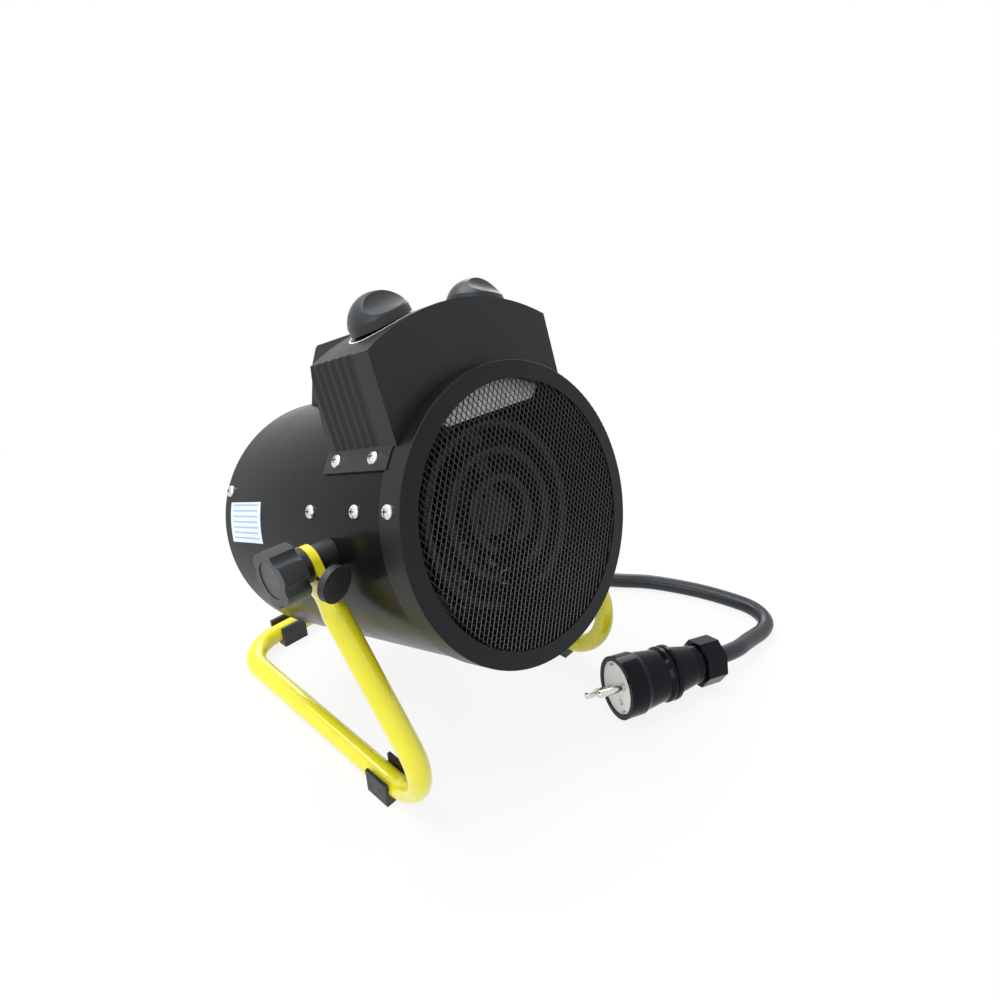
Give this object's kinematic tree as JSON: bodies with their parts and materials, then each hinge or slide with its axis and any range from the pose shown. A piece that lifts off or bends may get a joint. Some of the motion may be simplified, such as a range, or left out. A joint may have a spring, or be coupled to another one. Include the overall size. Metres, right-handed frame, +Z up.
{
  "type": "forced air heater",
  "caption": "Portable drum fan heater with ring elements behind a mesh front, a control box, a handle, a tilting tube stand and a plug on a thick cable.",
  "frame": {"origin": "middle of the footprint on the floor, without the free cable", "axes": "+Z up, the air leaves towards -Y, the stand's pivot runs along X"},
  "size_m": [0.3263, 0.5209, 0.2683],
  "materials": {
    "black_paint": "satin",
    "black_plastic": "fine grain",
    "cap_plastic": "satin",
    "yellow_paint": "gloss",
    "black_rubber": "satin",
    "cable_rubber": "satin",
    "zinc_steel": "zinc plated",
    "bright_steel": "bright",
    "element_steel": "oxidised",
    "core_steel": "laminated",
    "pressed_steel": "zinc plated",
    "coil_tape": "wrapped",
    "brass": "turned",
    "fan_metal": "pressed",
    "white_plastic": "satin",
    "dark_plastic": "moulded",
    "label_film": "satin",
    "pin_metal": "nickel plated",
    "core_wire": "satin"
  },
  "bodies": {
    "stand": {"stand_frame": "yellow_paint", "arm_buffer": "black_rubber", "foot_clips": "black_rubber", "cable_coil": "cable_rubber", "supply_cable_front": "cable_rubber", "plug_body": "black_rubber", "plug_insert": "white_plastic", "plug_pins": "pin_metal", "plug_earth_clips": "pin_metal", "plug_gland_nut": "black_rubber"},
    "heater": {"drum_shell": "black_paint", "front_ring": "black_paint", "front_net": "black_paint", "inner_shell": "bright_steel", "shell_brackets": "zinc_steel", "rating_label": "label_film", "rear_grille": "black_paint", "control_housing": "black_plastic", "back_cover": "black_plastic", "carry_handle": "black_plastic", "handle_screws": "zinc_steel", "case_screws": "zinc_steel", "selector_switch": "dark_plastic", "thermostat_body": "dark_plastic", "terminal_block": "white_plastic", "thermal_cutout": "dark_plastic", "element_inner": "element_steel", "element_middle": "element_steel", "element_outer": "element_steel", "element_bushes": "white_plastic", "element_plate": "zinc_steel", "element_spider": "zinc_steel", "motor_stator": "core_steel", "motor_coil": "coil_tape", "motor_front_frame": "pressed_steel", "motor_rear_frame": "pressed_steel", "motor_bearings": "brass", "motor_studs": "zinc_steel", "motor_spacers": "zinc_steel", "pivot_backings": "zinc_steel", "pivot_bolts": "zinc_steel", "pivot_spacers": "black_plastic", "wiring": "core_wire", "cable_sleeve": "black_rubber", "supply_cable_rear": "cable_rubber"},
    "left_tilt_knob": {"tilt_knob_left": "black_plastic", "knob_insert_left": "brass", "knob_cap_left": "cap_plastic"},
    "right_tilt_knob": {"tilt_knob_right": "black_plastic", "knob_insert_right": "brass", "knob_cap_right": "cap_plastic"},
    "selector": {"selector_knob": "black_plastic", "selector_spindle": "bright_steel"},
    "thermostat": {"thermostat_knob": "black_plastic", "thermostat_spindle": "bright_steel"},
    "fan": {"impeller": "fan_metal", "fan_shaft": "bright_steel", "motor_rotor": "bright_steel", "impeller_nut": "zinc_steel"}
  },
  "joints": [
    {"name": "tilt", "type": "hinge", "parent": "stand", "child": "heater", "pos_m": [0, -0.03064, 0.1475], "axis": [1, 0, 0], "range_deg": [-11, 34], "deforming": ["supply_cable_rear"]},
    {"name": "left_knob_turn", "type": "hinge", "parent": "heater", "child": "left_tilt_knob", "pos_m": [-0.1, -0.03064, 0.1475], "axis": [-1, 0, 0], "range_deg": [0, 360]},
    {"name": "right_knob_turn", "type": "hinge", "parent": "heater", "child": "right_tilt_knob", "pos_m": [0.1, -0.03064, 0.1475], "axis": [1, 0, 0], "range_deg": [0, 360]},
    {"name": "selector_turn", "type": "hinge", "parent": "heater", "child": "selector", "pos_m": [-0.031, -0.02645, 0.25243], "axis": [-0.2613, 0.3143, 0.9127], "range_deg": [0, 135]},
    {"name": "thermostat_turn", "type": "hinge", "parent": "heater", "child": "thermostat", "pos_m": [0.031, -0.02645, 0.25243], "axis": [0.2613, 0.3143, 0.9127], "range_deg": [0, 270]},
    {"name": "fan_spin", "type": "hinge", "parent": "heater", "child": "fan", "pos_m": [0, 0.0155, 0.12241], "axis": [0, 0.9455, -0.3256], "continuous": true}
  ]
}
